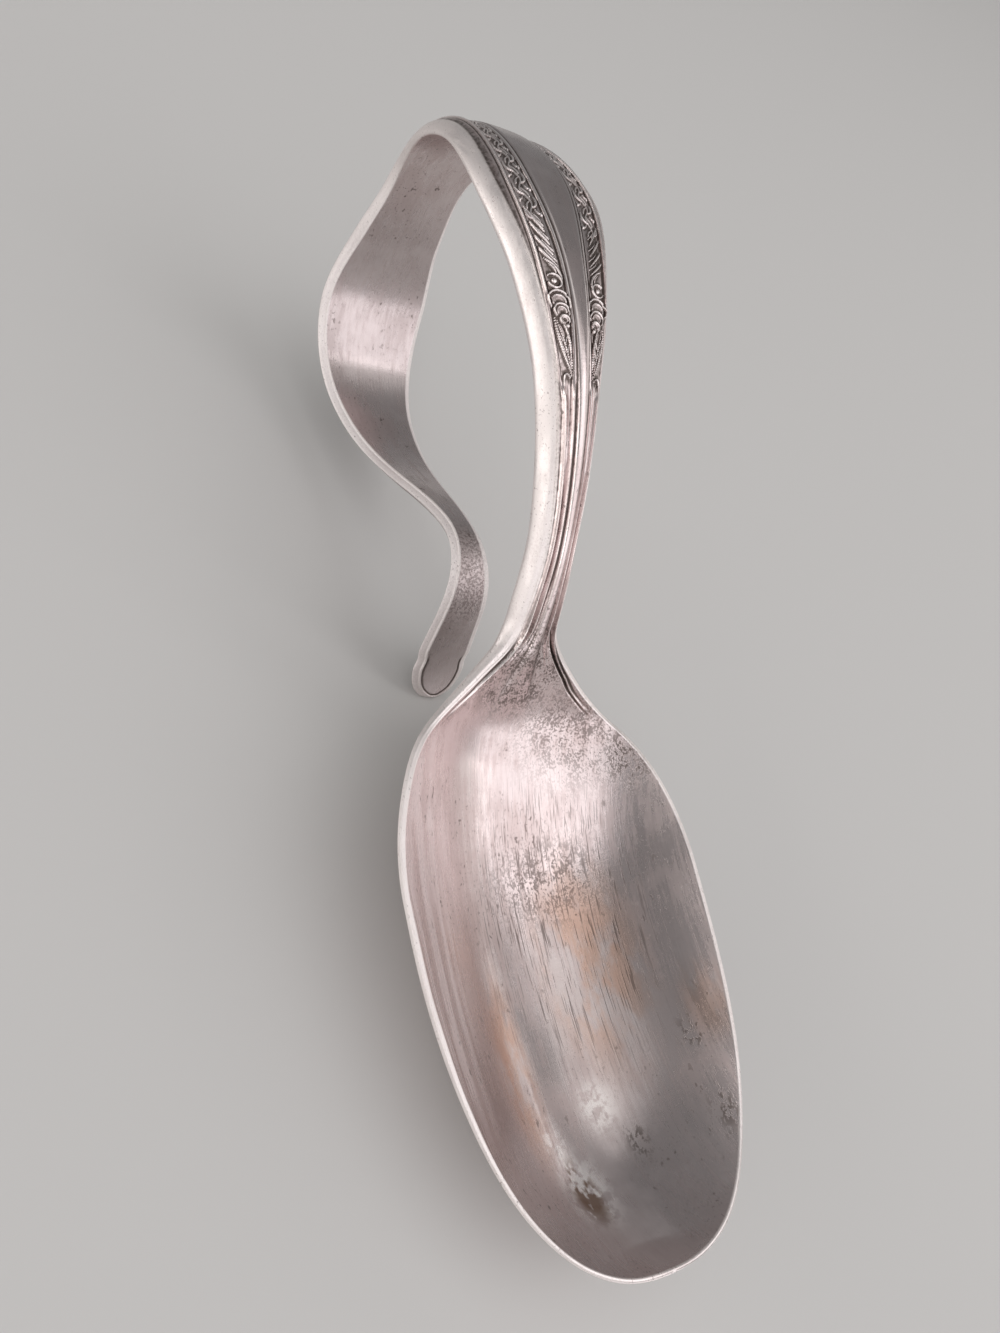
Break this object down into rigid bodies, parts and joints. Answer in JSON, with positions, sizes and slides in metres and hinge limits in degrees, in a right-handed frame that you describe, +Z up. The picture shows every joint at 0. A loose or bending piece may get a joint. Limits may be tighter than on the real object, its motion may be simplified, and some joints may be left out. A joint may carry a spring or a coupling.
{
  "type": "bent-handle baby spoon",
  "caption": "Small spoon with an oval dished bowl and a ridged, bordered strip handle that bends back under itself into a finger loop.",
  "frame": {"origin": "centre of the footprint, on the level surface that the spoon stands on", "axes": "+X from the finger loop towards the tip of the bowl, +Y across the spoon, +Z up"},
  "size_m": [0.093, 0.029, 0.0374],
  "materials": {
    "silver_plate": "worn polished silver plate, tarnished in the recesses"
  },
  "bodies": {
    "root": {"bowl": "silver_plate", "handle_neck": "silver_plate", "handle_stem": "silver_plate", "handle_panel": "silver_plate", "loop_crown": "silver_plate", "loop_back": "silver_plate", "loop_base": "silver_plate", "loop_rise": "silver_plate", "loop_curl": "silver_plate", "loop_tip": "silver_plate"}
  },
  "joints": []
}
